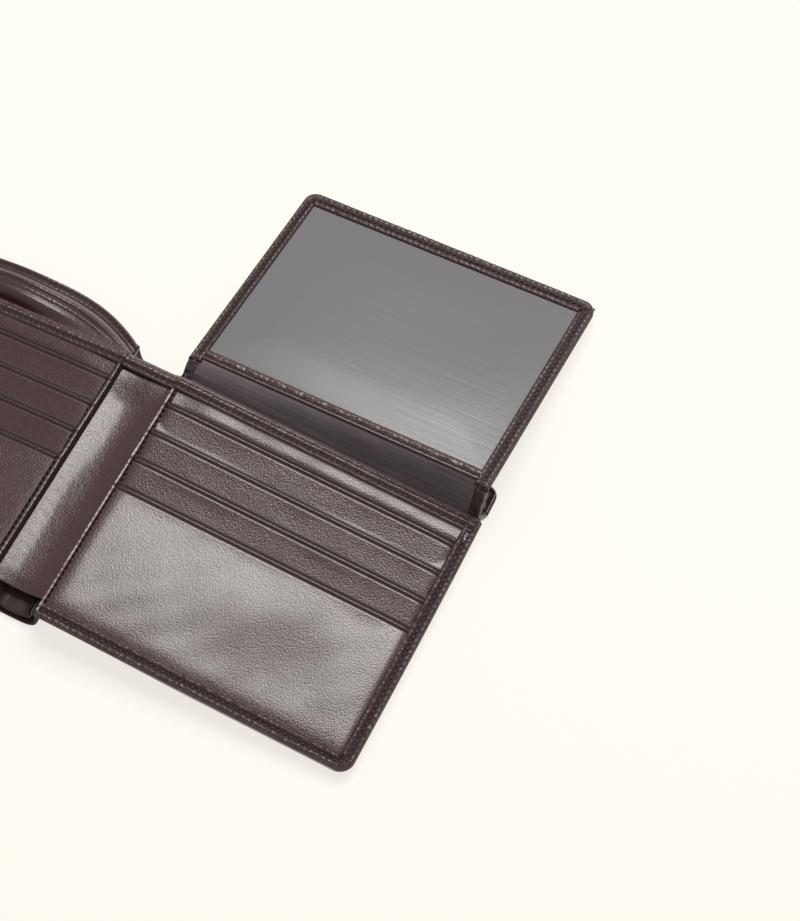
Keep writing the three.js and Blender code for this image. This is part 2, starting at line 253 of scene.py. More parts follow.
def relief(tree: Tree, height: Socket, depth: float, under: Socket | None = None,
           invert: bool = False) -> Socket:
    """Turns a pattern to bumps.

    Args:
        tree: The material's node tree.
        height: The pattern.
        depth: From its lowest to its highest, in millimetres.
        under: The normal that the bumps lie on.
        invert: Whether the pattern's high places are hollows.

    Returns:
        The bumpy normal.
    """
    inputs = {"Height": height, "Distance": depth * MM, "Strength": 1.0}
    if under is not None:
        inputs["Normal"] = under
    return add_node(tree, "ShaderNodeBump", inputs, invert=invert).outputs[0]


def finish_material(tree: Tree, surface: dict) -> None:
    """Ends a material in a principled surface.

    Args:
        tree: The material's node tree.
        surface: Values and links of the principled shader's inputs.
    """
    shader = add_node(tree, "ShaderNodeBsdfPrincipled", surface)
    add_node(tree, "ShaderNodeOutputMaterial", {"Surface": shader.outputs[0]})


def finish_leather(tree: Tree, colour: Socket, gloss: Socket, normal: Socket, coat: float,
                   coat_roughness: float) -> None:
    """Ends a leather, darker and duller where an iron or a needle presses it, and where shade is
    painted.

    Args:
        tree: The material's node tree.
        colour: The open leather's colour.
        gloss: Its roughness.
        normal: Its bumps.
        coat: How much finish the open leather carries.
        coat_roughness: The finish's roughness.
    """
    # Darkening read from the mesh: partly pressed or sewn leather, partly painted shade.
    pressed_and_shade = add_node(tree, "ShaderNodeAttribute", attribute_name="pressing_and_shade").outputs["Fac"]
    surface = {
        "Base Color": mixed(tree, pressed_and_shade, colour, to_linear(PRESSED_AND_SHADE)),
        "Roughness": mixed(tree, pressed_and_shade, gloss, PRESSED_ROUGHNESS, "FLOAT"),
        "IOR": 1.55,
        "Coat Weight": mixed(tree, pressed_and_shade, coat, 0.0, "FLOAT"),
        "Coat Roughness": coat_roughness,
        "Normal": normal,
    }
    finish_material(tree, surface)


@dataclass(frozen=True)
class GlazedCalf:
    """Chrome-tanned calf, dyed dark brown and glazed under pressure.

    Glazing closes the grain to a smooth film, which mirrors a lamp as a broad satin sheen, and
    leaves the pores as a fine pebble that breaks the sheen up. Real pores are about 0.1 mm, too
    fine to show, so they are drawn at 0.5 mm.
    """

    name: str
    dye: str
    worn_tone_and_end_shade: str
    sheen_roughness: float = 0.24
    pore: float = 0.5
    pore_depth: float = 0.06
    crinkle: float = 0.9
    crinkle_depth: float = 0.035
    cloud: float = 11

    def make(self) -> bpy.types.Material:
        """Makes the material: pores and crinkles, over clouds of dye."""
        material, tree, place = start_material(self.name)
        inputs = {"Vector": place, "Scale": 1 / self.pore}
        pores = add_node(tree, "ShaderNodeTexVoronoi", inputs, feature="F1").outputs["Distance"]
        crinkles = noise(tree, place, self.crinkle, 4.0, 0.6, 0.6)
        clouds = noise(tree, place, self.cloud, 3.0, 0.55)
        colour = mixed(tree, clouds, to_linear(self.dye), to_linear(self.worn_tone_and_end_shade))
        gloss = spread(tree, crinkles, self.sheen_roughness - 0.05, self.sheen_roughness + 0.09)
        normal = relief(tree, crinkles, self.crinkle_depth)
        normal = relief(tree, pores, self.pore_depth, normal, invert=True)
        finish_leather(tree, colour, gloss, normal, coat=0.55, coat_roughness=0.17)
        return material


@dataclass(frozen=True)
class TurnedEdge:
    """Pared calf, turned over the edge, creased with a hot iron and sewn.

    The iron darkens the dye, and the pull of the thread leaves short creases across the edge
    that glint on one side. Their hollows are painted darker, for the iron and as painted shade.
    """

    name: str
    dye: str
    iron_dark_and_shade: str
    crease: float = 0.8
    crease_depth: float = 0.21

    def make(self) -> bpy.types.Material:
        """Makes the material: fine creases, darker in their hollows, partly as painted shade."""
        material, tree, place = start_material(self.name)
        creases = noise(tree, place, self.crease, 4.0, distortion=1.6)
        # The creases' low places take the darker colour: the iron's darkening and painted shade.
        colour = mixed(tree, creases, to_linear(self.iron_dark_and_shade), to_linear(self.dye))
        gloss = spread(tree, creases, 0.16, 0.34)
        normal = relief(tree, creases, self.crease_depth)
        finish_leather(tree, colour, gloss, normal, coat=0.5, coat_roughness=0.15)
        return material


@dataclass(frozen=True)
class RibbedLining:
    """Woven charcoal lining with a fine rib along the wallet.

    The rib is 0.25 mm in the cloth, and is drawn at 0.6 mm so that its faint lines show. A painted
    highlight lightens the ribs' crests.
    """

    name: str
    yarn: str
    rib_crest_highlight: str
    rib: float = 0.6
    rib_depth: float = 0.06

    def make(self) -> bpy.types.Material:
        """Makes the material: ribs drawn out along the wallet, with a painted highlight on their crests.
        """
        material, tree, place = start_material(self.name)
        along = add_node(tree, "ShaderNodeMapping", {"Vector": place, "Scale": (0.05, 1.0, 1.0)})
        ribs = noise(tree, along.outputs[0], self.rib, 2.0)
        # Painted highlight: the ribs' crests take the lighter colour.
        surface = {
            "Base Color": mixed(tree, ribs, to_linear(self.yarn), to_linear(self.rib_crest_highlight)),
            "Roughness": 0.5,
            "Sheen Weight": 0.1,
            "Normal": relief(tree, ribs, self.rib_depth),
        }
        finish_material(tree, surface)
        return material


@dataclass(frozen=True)
class ClearFilm:
    """Calendered clear PVC film over the dark lining.

    The film mirrors the room as an even grey, painted into its opaque colour over the lining, and
    the fine draw lines that the rollers leave in it show faintly where it turns away from the lamp.
    """

    name: str
    room_reflection_grey: str
    line: float = 1.3
    line_depth: float = 0.02

    def make(self) -> bpy.types.Material:
        """Makes the material: an even painted grey reflection, with draw lines along the wallet."""
        material, tree, place = start_material(self.name)
        along = add_node(tree, "ShaderNodeMapping", {"Vector": place, "Scale": (0.03, 1.0, 1.0)})
        lines = noise(tree, along.outputs[0], self.line, 2.0)
        # The base colour is a painted grey reflection of the room over the lining.
        surface = {
            "Base Color": to_linear(self.room_reflection_grey),
            "Roughness": 0.17,
            "IOR": 1.5,
            "Normal": relief(tree, lines, self.line_depth),
        }
        finish_material(tree, surface)
        return material


@dataclass(frozen=True)
class WaxedThread:
    """Twisted polyester thread in the brown of the leather: its wax makes each stitch glint."""

    name: str
    colour: str
    twist: float = 0.25

    def make(self) -> bpy.types.Material:
        """Makes the material: painted shade, half as light, where the strands turn under."""
        material, tree, place = start_material(self.name)
        strands = noise(tree, place, self.twist, 1.0)
        light = to_linear(self.colour)
        # Painted shade where the strands turn under.
        shade = (light[0] * 0.5, light[1] * 0.5, light[2] * 0.5, 1.0)
        tone = mixed(tree, strands, light, shade)
        finish_material(tree, {"Base Color": tone, "Roughness": 0.42})
        return material


@dataclass(frozen=True)
class Place:
    """Where a part's own frame lies in the wallet.

    Attributes:
        turn: Its axes as columns.
        at: Its origin in millimetres.
    """

    turn: Points
    at: Points

    def lay(self, points: Points) -> Points:
        """Carries points from the part's frame to the wallet's."""
        return points @ self.turn.T + self.at

    def inside(self, turn: Points, at: Sequence[float]) -> "Place":
        """Gives the place of a frame that is itself set in this one."""
        return Place(self.turn @ turn, self.lay(np.array(at, float)))


def turn_about(axis: str, angle: float) -> Points:
    """Gives the matrix that turns by an angle about x or y."""
    c, s = math.cos(angle), math.sin(angle)
    if axis == "x":
        return np.array([[1, 0, 0], [0, c, -s], [0, s, c]], float)
    return np.array([[c, 0, s], [0, 1, 0], [-s, 0, c]], float)


WORLD = Place(np.eye(3), np.zeros(3))
ORIGIN = Place(np.eye(3), np.array([0.0, -MID_HEIGHT, 0.0]))
RIGHT_PLACE = ORIGIN.inside(turn_about("y", HALF_TILT), (SPINE_GAP / 2, 0, HALF_LIFT))
LEFT_PLACE = ORIGIN.inside(
    turn_about("y", -HALF_TILT) @ np.diag([-1.0, 1.0, 1.0]), (-SPINE_GAP / 2, 0, HALF_LIFT)
)
LEAN = (0.0, math.cos(GUSSET_LEAN), math.sin(GUSSET_LEAN))
FOLD_POINT = tuple(f + GUSSET_REACH * s for f, s in zip(GUSSET_FOOT, LEAN))
FLAP_PLACE = RIGHT_PLACE.inside(turn_about("y", FLAP_SKEW) @ turn_about("x", FLAP_TILT), FOLD_POINT)


@dataclass
class Mesh:
    """Points in millimetres and the faces between them, gathered from several closed shells."""

    points: list[Points] = field(default_factory=list)
    faces: list[tuple[int, ...]] = field(default_factory=list)
    pressing_and_shade: list[Points] = field(default_factory=list)
    count: int = 0

    def add(self, points: Points, faces: Sequence[tuple[int, ...]],
            pressing_and_shade: Points | None = None) -> None:
        """Adds one shell.

        Args:
            points: Its points.
            faces: Its faces.
            pressing_and_shade: How far each point is darkened, by creasing or sewing and by painted
                shade, from 0 to 1.
        """
        self.points.append(points.reshape(-1, 3))
        dark = np.zeros(len(self.points[-1])) if pressing_and_shade is None else pressing_and_shade.reshape(-1)
        self.pressing_and_shade.append(dark)
        self.faces += [tuple(int(i) + self.count for i in face) for face in faces]
        self.count += len(self.points[-1])

    def slab(self, top: Points, base: Points, pressing_and_shade: Points | None = None) -> "Mesh":
        """Adds a closed slab between two grids of points.

        Args:
            top: The upper grid, in rows along x and then y.
            base: The lower grid, of the same size.
            pressing_and_shade: How dark the upper grid's points are, from 0 to 1.

        Returns:
            This mesh.
        """
        rows, columns = top.shape[:2]
        lower = rows * columns
        faces = []
        for i in range(rows - 1):
            for j in range(columns - 1):
                a, d = i * columns + j, i * columns + j + 1
                b, c = a + columns, d + columns
                faces.append((a, b, c, d))
                faces.append((lower + d, lower + c, lower + b, lower + a))
        rim = [i * columns for i in range(rows)]
        rim += [(rows - 1) * columns + j for j in range(1, columns)]
        rim += [i * columns + columns - 1 for i in range(rows - 2, -1, -1)]
        rim += list(range(columns - 2, 0, -1))
        for a, b in zip(rim, rim[1:] + rim[:1]):
            faces.append((b, a, lower + a, lower + b))
        dark = None if pressing_and_shade is None else np.concatenate([pressing_and_shade.reshape(-1)] * 2)
        self.add(np.concatenate([top.reshape(-1, 3), base.reshape(-1, 3)]), faces, dark)
        return self

    def loft(self, rings: Points, pressing_and_shade: Points | None = None) -> "Mesh":
        """Adds a closed tube through a row of rings.

        Args:
            rings: The rings' points, turning anticlockwise as seen against the tube's run.
            pressing_and_shade: How dark each point is, from 0 to 1.

        Returns:
            This mesh.
        """
        rows, around = rings.shape[:2]
        faces = []
        for i in range(rows - 1):
            for j in range(around):
                a, b = i * around + j, i * around + (j + 1) % around
                faces.append((a, b, b + around, a + around))
        faces.append(tuple(range(around - 1, -1, -1)))
        faces.append(tuple((rows - 1) * around + j for j in range(around)))
        self.add(rings, faces, pressing_and_shade)
        return self

    def build(self, name: str, place: Place, crease: float = 55.0) -> bpy.types.Object:
        """Makes the Blender object.

        Args:
            name: The piece's name.
            place: Where the piece's own frame lies.
            crease: Edges sharper than this many degrees stay sharp.

        Returns:
            The object, at rest in the wallet's frame.
        """
        points = place.lay(np.concatenate(self.points)) * MM
        faces = self.faces
        if np.linalg.det(place.turn) < 0:
            faces = [face[::-1] for face in faces]
        data = bpy.data.meshes.new(name)
        data.from_pydata(points.tolist(), [], faces)
        # Per-point darkening: partly where the leather is pressed or sewn, partly painted shade.
        dark = data.attributes.new("pressing_and_shade", "FLOAT", "POINT")
        dark.data.foreach_set("value", np.concatenate(self.pressing_and_shade).astype(np.float32))
        data.shade_smooth()
        data.set_sharp_from_angle(angle=math.radians(crease))
        piece = bpy.data.objects.new(name, data)
        bpy.context.scene.collection.objects.link(piece)
        return piece


def ripple(x: Points, y: Points, wave: float, seed: int, parts: int = 7) -> Points:
    """Gives a smooth irregular height from -1 to 1.

    Args:
        x: Positions.
        y: Positions.
        wave: The typical distance from crest to crest.
        seed: Which pattern.
        parts: How many waves are summed.

    Returns:
        The heights.
    """
    random = np.random.default_rng(seed)
    height = np.zeros(np.broadcast(x, y).shape)
    for _ in range(parts):
        angle = random.uniform(0, 2 * math.pi)
        number = 2 * math.pi / (wave * random.uniform(0.7, 1.6))
        phase = random.uniform(0, 2 * math.pi)
        height = height + np.sin(number * (x * math.cos(angle) + y * math.sin(angle)) + phase)
    return height / math.sqrt(parts) / 1.6


def unit(t: Points) -> Points:
    """Holds values between 0 and 1."""
    return np.clip(t, 0, 1)


def eased(t: Points) -> Points:
    """Rises smoothly from 0 to 1 as t does."""
    t = unit(t)
    return t * t * (3 - 2 * t)


def hump(distance: Points, centre: float, width: float) -> Points:
    """Gives a rounded ridge, 1 high at its centre."""
    return np.exp(-(((distance - centre) / width) ** 2))


def rounding(distance: Points, radius: float) -> Points:
    """Gives how far a rounded edge has dropped at a distance from it."""
    t = unit(1 - distance / radius)
    return radius * (1 - np.sqrt(unit(1 - t * t)))


def stations(start: float, end: float, step: float, rim: float = 0.0) -> Points:
    """Gives even stations, closer together beside both ends.

    Args:
        start: The first.
        end: The last.
        step: The space between them.
        rim: How wide the closer stretch is.

    Returns:
        The stations in order.
    """
    even = np.linspace(start, end, max(2, round((end - start) / step) + 1))
    if not rim:
        return even
    near = rim * np.array([0.03, 0.12, 0.27, 0.48, 0.74, 1.0])
    middle = even[(even > start + rim * 1.1) & (even < end - rim * 1.1)]
    return np.concatenate([[start], start + near, middle, end - near[::-1], [end]])


def grid(x: Points, y: Points) -> tuple[Points, Points]:
    """Spreads stations along x and y to a grid."""
    return np.meshgrid(x, y, indexing="ij")


def stacked(x: Points, y: Points, z: Points) -> Points:
    """Joins three grids of coordinates to one of points."""
    return np.stack(np.broadcast_arrays(x, y, z), axis=-1).astype(float)


# A stitch's section along its run: station, thickness and height in millimetres.
STITCH_SHAPE = (
    (-0.5, 0.35, -0.3), (-0.38, 0.85, -0.1), (0, 1.0, 0.06), (0.38, 0.85, -0.1), (0.5, 0.35, -0.3)
)


def stitches(path: Points, slant: float = STITCH_SLANT) -> Mesh:
    """Makes a run of single stitches along a seam.

    Args:
        path: Closely spaced points of the seam.
        slant: How far a stitch turns from the seam, as a slope.

    Returns:
        The stitches.
    """
    mesh = Mesh()
    run = np.concatenate([[0], np.cumsum(np.linalg.norm(np.diff(path, axis=0), axis=1))])
    turns = np.linspace(0, 2 * math.pi, 6, endpoint=False)
    for centre in np.arange(STITCH_PITCH / 2, run[-1], STITCH_PITCH):
        at, before, after = (
            np.array([np.interp(centre + shift, run, path[:, k]) for k in range(3)])
            for shift in (0, -0.2, 0.2)
        )
        ahead = (after - before) / np.linalg.norm(after - before)
        ahead = ahead + np.cross(UP, ahead) * slant
        ahead /= np.linalg.norm(ahead)
        side = np.cross(UP, ahead)
        rings = []
        for t, thick, dip in STITCH_SHAPE:
            middle = at + ahead * t * STITCH_LENGTH + UP * dip
            radius = THREAD_RADIUS * thick
            rings.append([middle + radius * (side * math.cos(a) + UP * math.sin(a)) for a in turns])
        mesh.loft(np.array(rings)[:, ::-1])
    return mesh


@dataclass(frozen=True)
class BandPoint:
    """One point of a turned edge's section.

    Attributes:
        across: From the outer edge, in millimetres, or in shares of the width when negative.
        level: Height in millimetres.
        swell: How much of the puckering it takes.
        dark: How dark it is: the iron's darkening in the stitch groove, and painted shade at the inner
            line and on the outer rim.
    """

    across: float
    level: float
    swell: float = 0.0
    dark: float = 0.0


def turned_band(outer: Points, inner: Points, section: Sequence[BandPoint], seed: int,
                pucker: float = 0.36) -> tuple[Mesh, Points]:
    """Makes a turned, puckered edge between an outer and an inner line.

    Args:
        outer: Points of the outer line, in x and y.
        inner: The matching points of the inner line.
        section: The section, from the inner line over the top to the outer edge and back.
        seed: Which pattern of creases.
        pucker: How far the leather swells between stitches.

    Returns:
        The edge, and the points of the seam along its middle, in x and y.
    """
    middle = (outer + inner) / 2
    run = np.concatenate([[0], np.cumsum(np.linalg.norm(np.diff(middle, axis=0), axis=1))])
    rim = np.concatenate([[0], np.cumsum(np.linalg.norm(np.diff(outer, axis=0), axis=1))])
    width = np.linalg.norm(inner - outer, axis=1)
    beat = np.abs(np.sin(math.pi * run / STITCH_PITCH)) ** 0.6
    ahead = np.gradient(outer, axis=0)
    turning = np.abs(np.gradient(np.unwrap(np.arctan2(ahead[:, 1], ahead[:, 0])))) > 0.02
    corner = np.convolve(turning.astype(float), np.ones(9) / 9, "same")
    pleats = np.abs(np.sin(math.pi * rim / 0.85))
    rings, darks = [], []
    for point in section:
        if point.across < 0:
            part = np.full_like(width, -point.across)
        else:
            part = np.minimum(point.across / width, 1)
        flat = outer + (inner - outer) * part[:, None]
        uneven = 0.35 * ripple(run, part * width * 2.2, 2.6, seed)
        uneven = uneven + 0.3 * ripple(run, part * 3, 14, seed + 1)
        puff = beat * (0.9 + 0.7 * uneven) + 0.6 * uneven - 0.4
        swell = point.swell * pucker * (puff * (1 - corner) + (pleats * 1.1 - 0.7) * corner)
        rings.append(stacked(flat[:, 0], flat[:, 1], point.level + swell))
        # Painted shade in the hollows between puckers, and between the pleats at the corners.
        hollow_shade = unit(1 - puff * 1.3) * (1 - corner) + (1 - pleats) ** 2 * corner
        darks.append(unit(point.dark + 0.75 * hollow_shade * min(point.swell, 1)))
    return Mesh().loft(np.stack(rings, axis=1), np.stack(darks, axis=1)), middle


def two_arm_lines(end: float) -> tuple[Points, Points]:
    """Gives a half's outer and inner edge lines: along the bottom, round and up the free side.

    Args:
        end: Where the side arm ends.

    Returns:
        The outer line and the inner line, with matching points.
    """
    step = 0.3
    roll = 0.6
    bottom = np.arange(0, HALF_WIDTH - CORNER, step)
    outer = [(x, -BORDER - roll) for x in bottom]
    inner = [(min(x, PANEL_WIDTH - 0.6), 0.0) for x in bottom]
    centre = (HALF_WIDTH - CORNER, CORNER - BORDER)
    for angle in np.linspace(-math.pi / 2, 0, 24):
        reach = CORNER + roll
        outer.append((centre[0] + reach * math.cos(angle), centre[1] + reach * math.sin(angle)))
        share = (angle + math.pi / 2) / (math.pi / 2)
        inner.append((PANEL_WIDTH - 0.6 * (1 - share), 0.6 * share))
    for y in np.arange(0.0, end, step)[1:]:
        outer.append((HALF_WIDTH + roll, y))
        inner.append((PANEL_WIDTH, max(y, 0.6)))
    return np.array(outer), np.array(inner)


def mouth(x: Points, height: float, inset: float = 0.0) -> Points:
    """Gives how high a sheet reaches: it dips to the spine and rounds at its free corner.

    Args:
        x: Positions from the spine.
        height: The sheet's height up its free side.
        inset: How far its free side stays inside the edge.

    Returns:
        Its mouth's height at each position.
    """
    t = unit(1 - np.clip(x, 0, None) / MOUTH_RUN)
    dip = MOUTH_DROP * t**2.2
    corner = np.clip(x - (HALF_WIDTH - inset - CORNER), 0, CORNER)
    return height - dip - (CORNER - np.sqrt(np.clip(CORNER**2 - corner**2, 0, None)))


@dataclass
class Workshop:
    """The finishes, made once, and the dressing of a piece in one of them."""

    made: dict[str, bpy.types.Material] = field(default_factory=dict)

    def stock(self) -> None:
        """Makes every material."""
        for finish in (
            GlazedCalf("glazed_calf", "#382121", "#402726"),
            GlazedCalf("crinkled_calf", "#382121", "#402726", 0.26, pore_depth=0.07, crinkle_depth=0.11),
            TurnedEdge("turned_calf_edge", "#523533", "#261313"),
            RibbedLining("ribbed_lining", "#473E43", "#7A6E73"),
            ClearFilm("clear_film", "#706E73"),
            WaxedThread("waxed_thread", "#46322E"),
        ):
            self.made[finish.name] = finish.make()

    def dress(self, piece: bpy.types.Object, finish: str, slot: Slot,
              *nodes: str) -> bpy.types.Object:
        """Gives a piece its material, and hides the CAD nodes that it stands for.

        Args:
            piece: The piece.
            finish: The material's name.
            slot: Not used.
            *nodes: CAD nodes that the piece replaces.

        Returns:
            The piece.
        """
        piece.data.materials.append(self.made[finish])
        if nodes:
            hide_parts(*nodes)
        LOG.info("%s: %d faces, %s", piece.name, len(piece.data.polygons), finish)
        return piece


# Turned edges from the inner line over the top to the outer edge and back, as BandPoint lists them;
# their darkness is the iron's in the stitch groove and painted shade at the inner line and down the
# outer rim.
BORDER_SECTION = [
    BandPoint(*row)
    for row in (
        (-1.0, -1.3, 0, 1), (-0.985, -0.95, 0, 1), (-0.95, -0.7, 0.2, 0.7), (-0.9, -0.5, 0.4, 0.1),
        (-0.82, -0.4, 1.0), (-0.72, -0.5, 0.9, 0.1), (-0.62, -0.85, 0.3, 0.6),
        (-0.53, -1.05, 0, 0.9), (-0.44, -0.85, 0.3, 0.6), (-0.35, -0.48, 0.9, 0.1),
        (0.95, -0.3, 1.1), (0.6, -0.36, 0.7), (0.3, -0.7, 0.25, 0.4), (0.1, -1.2, 0.2, 0.75),
        (0.05, -2.2, 0, 0.9), (0.6, -4.5, 0, 0.9), (0.9, -5.1, 0, 0.9), (1.3, -5.5, 0, 0.6),
        (2.3, -5.55), (2.3, -5.2), (1.45, -5.1), (1.1, -4.5), (0.6, -2.2), (0.9, -1.55),
    )
]


# Down from a pocket's lip, where its fold and its crease need close rows.
LIP_STATIONS = (0, 0.03, 0.08, 0.16, 0.26, 0.38, 0.5, 0.62, 0.75, 0.88, 1.0, 1.12, 1.25, 1.4, 1.6, 1.9)


@dataclass(frozen=True)
class BackSheet:
    """One of the sheets behind a card panel.

    Attributes:
        node: Its CAD node, without the side.
        height: Up its free side.
        inset: How far its free side stays inside the edge.
        level: Of its face.
        skin: Its thickness.
        hem: How strongly its turned hem shows, from 0 to 1.
        gape: How far its mouth stands off the cover's, as a share of the cover's own bulge.
        finish: The material's name.
        slot: The record's slot.
    """

    node: str
    height: float
    inset: float
    level: float
    skin: float
    hem: float
    gape: float
    finish: str
    slot: Slot


BACK_SHEETS = (
    BackSheet("note_divider", DIVIDER_HEIGHT, 0.6, DIVIDER_TOP, 0.6, 0.9, 0.5, "glazed_calf", Slot.CALF),
    BackSheet(
        "cover_lining", COVER_HEIGHT - 3.6, 1.2, LINING_TOP, 0.4, 0.0, 0.1, "ribbed_lining", Slot.LINING
    ),
    BackSheet("outer_cover", COVER_HEIGHT, -0.7, COVER_TOP, 1.4, 1.0, 0.0, "glazed_calf", Slot.CALF),
)


@dataclass
class SubAssembly:
    """A part of the wallet that moves as one, built in its own frame.

    Attributes:
        shop: The finishes.
        place: Where the part lies.
        body: The body that it moves with.
        seed: Which pattern of soft unevenness.
    """

    shop: Workshop
    place: Place
    body: Body
    seed: int

    def settle(self, points: Points) -> None:
        """Moves a shell's points from the cut pattern to how the leather lies; here, not at all."""

    def keep(self, mesh: Mesh, name: str, finish: str, slot: Slot, *nodes: str) -> bpy.types.Object:
        """Builds, dresses and seats a piece.

        Args:
            mesh: Its shape.
            name: Its name.
            finish: The material's name.
            slot: The record's slot.
            *nodes: CAD nodes that the piece replaces.

        Returns:
            The piece.
        """
        for points in mesh.points:
            self.settle(points)
        piece = self.shop.dress(mesh.build(name, self.place), finish, slot, *nodes)
        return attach(piece, self.body.value)

    def sew(self, node: str, path: Points, slant: float = STITCH_SLANT) -> None:
        """Builds the stitches of one seam.

        Args:
            node: The CAD node that they replace.
            path: Closely spaced points of the seam.
            slant: How far a stitch turns from the seam, as a slope.
        """
        self.keep(stitches(path, slant), f"{node}_run", "waxed_thread", Slot.THREAD, node)


@dataclass
class CardHalf(SubAssembly):
    """One half of the wallet, with its pockets, panel, note divider, lining and cover.

    Attributes:
        side: "right" or "left", as the nodes are named.
    """

    side: str

    def settle(self, points: Points) -> None:
        """Bows the free side out a little, and thins the layers where they meet the spine."""
        x, y, z = (points[:, k].copy() for k in range(3))
        points[:, 0] = x + 0.5 * np.clip(x / HALF_WIDTH, 0, 1.1) ** 4 * hump(y, 42, 50)
        thin = eased(1 - x / 52) * eased((8 - y) / 10)
        points[:, 2] = z + 2.1 * thin * unit((-z - 1.5) / 4)

    def soft(self, x: Points, y: Points, shift: int = 0) -> Points:
        """Gives the leather's gentle unevenness in millimetres, in a pattern of its own per shift."""
        broad = ripple(x, y, 26, self.seed + shift)
        return 0.085 * broad + 0.022 * ripple(x, y, 8, self.seed + shift + 50)

    def pocket(self, index: int) -> None:
        """Builds one card pocket with its folded and creased lip.

        Args:
            index: 0 for the topmost; 3 is the deep front pocket.
        """
        last = index == 3
        lip = TOP_LIP - index * SLOT_PITCH
        depth = lip + 0.35 if last else SLOT_PITCH + 2.5
        down = np.concatenate([LIP_STATIONS, stations(2.3, depth, 0.8)])
        x, d = grid(stations(SADDLE + 0.05, PANEL_WIDTH + 0.35, 0.6, 1.2), down[::-1])
        y = lip - d
        if last:
            z = -0.1 * eased(d / 34) - 0.5 * eased((30 - y) / 30) * hump(x, 58, 26)
            z = z - 0.55 * eased((44 - y) / 38) * eased((x - 40) / 26)
        elif index == 0:
            z = -0.35 - 0.13 * np.minimum(d, 9.9)
        else:
            z = -0.125 * np.minimum(d, 9.9)
        inner = np.minimum(x - SADDLE, PANEL_WIDTH - x + 0.2)
        open_share = eased(inner / 9)
        dip = np.where((self.side == "left") & (x < 47), 0.12, 0.5)
        z = z + 0.3 * open_share * np.exp(-d / 2.2) - dip * np.exp(-np.clip(inner, 0, None) / 1.3)
        z = z + self.soft(x, y, index) * eased(inner / 7) * (0.4 + 0.6 * eased((d - 1) / 4))
        if last:
            z = z - 0.3 * np.exp(-np.clip(y, 0, None) / 1.2)
        z = z + 0.2 * hump(d, 0.5, 0.3) - 0.24 * hump(d, 1.2, 0.24)
        z = np.maximum(z, -1.42)
        top = z - rounding(d, 0.26)
        base = z - 0.52 + rounding(d, 0.26)
        # Darkening: the crease under the fold, pressed and in painted shade; painted shade on the fold's
        # rounded edge; a painted shadow cast by the next pocket's lip; painted shade where the ends tuck
        # under the border.
        dark = 0.95 * hump(d, 1.2, 0.3) + 0.9 * unit(1 - d / 0.12)
        if not last:
            dark = dark + unit((d - SLOT_PITCH + 1.35) / 0.5)
        dark = unit(dark + 0.6 * np.exp(-np.clip(inner, 0, None) / 0.5))
        name = f"front_pocket_{self.side}" if last else f"card_pocket_{self.side}_{index + 1}"
        mesh = Mesh().slab(stacked(x, y, top), stacked(x, y, base), dark)
        self.keep(mesh, f"{name}_leather", "glazed_calf", Slot.CALF, name)

    def panel(self) -> None:
        """Builds the card panel, whose folded side stands as a ridge beside the pocket stitching."""
        x, y = grid(
            np.concatenate([stations(-0.28, 1.9, 0.16), stations(2.5, HALF_WIDTH - 0.6, 1.2)]),
            stations(0.6 - BORDER, PANEL_HEIGHT - 0.4, 0.6, 0.5),
        )
        ridge = 1.25 * eased((x + 0.28) / 0.35) * eased((1.35 - x) / 0.5)
        slots = sum(hump(y, TOP_LIP - k * SLOT_PITCH, 0.7) for k in range(4))
        beat = np.abs(np.sin(math.pi * y / STITCH_PITCH))
        ridge = ridge * (1 + 0.12 * slots + 0.1 * beat + 0.1 * ripple(x, y, 9, self.seed + 9))
        face = PANEL_TOP + 0.06 * ripple(x, y, 12, self.seed + 8)
        lift = 0.5 * eased((y - TOP_LIP + 1) / 3) * eased((x - 1.5) / 12)
        lift = lift + 0.08 * np.clip(y - TOP_LIP, 0, 6)
        top = face + np.where(y < HEM_START + 1, ridge, ridge * 0.3) + lift
        base = np.full_like(x, -2.2)
        # Darkening: the stitch groove beside the ridge, pressed and in painted shade; painted shade
        # under the hem, under the top pocket's lip and on the ridge's outer wall by the spine.
        dark = unit(1 - np.abs(x - 1.5) / 0.45) + unit((y - HEM_START + 0.7) / 0.5)
        dark = dark + unit((TOP_LIP + 1.3 - y) / 0.5) * (x > 1.5)
        dark = dark + unit((-x + 0.05) / 0.2)
        mesh = Mesh().slab(stacked(x, y, top), stacked(x, y, base), unit(dark))
        name = f"card_panel_{self.side}"
        self.keep(mesh, f"{name}_leather", "glazed_calf", Slot.CALF, name)
        seam = np.linspace((1.45, 0.5, -0.78), (1.45, HEM_START - 0.6, -0.78), 300)
        self.sew(f"pocket_thread_{self.side}", seam, slant=-0.14)

    def edge(self) -> None:
        """Builds the turned edge round the bottom and the free side, with its stitching."""
        outer, inner = two_arm_lines(PANEL_HEIGHT + 0.2)
        mesh, middle = turned_band(outer, inner, BORDER_SECTION, self.seed + 20)
        name = f"edge_binding_{self.side}"
        self.keep(mesh, f"{name}_leather", "turned_calf_edge", Slot.EDGE, name)
        path = stacked(middle[:, 0], middle[:, 1], SEAM_LEVEL)
        self.sew(f"edge_thread_{self.side}", path[3:-3])

    def hem(self) -> None:
        """Builds the folded, stitched hem along the top of the card panel."""
        x, t = grid(stations(-0.1, HALF_WIDTH - 0.9, 0.3, 0.4), stations(0, HEM_WIDTH, 0.16, 0.3))
        mesh = Mesh().slab(*hem_surfaces(x, t, -1.25, self.seed + 30))
        name = f"top_hem_{self.side}"
        self.keep(mesh, f"{name}_leather", "turned_calf_edge", Slot.CALF, name)
        path = np.linspace((0.3, HEM_SEAM, SEAM_LEVEL), (HALF_WIDTH - 2, HEM_SEAM, SEAM_LEVEL), 300)
        self.sew(f"hem_thread_{self.side}", path)

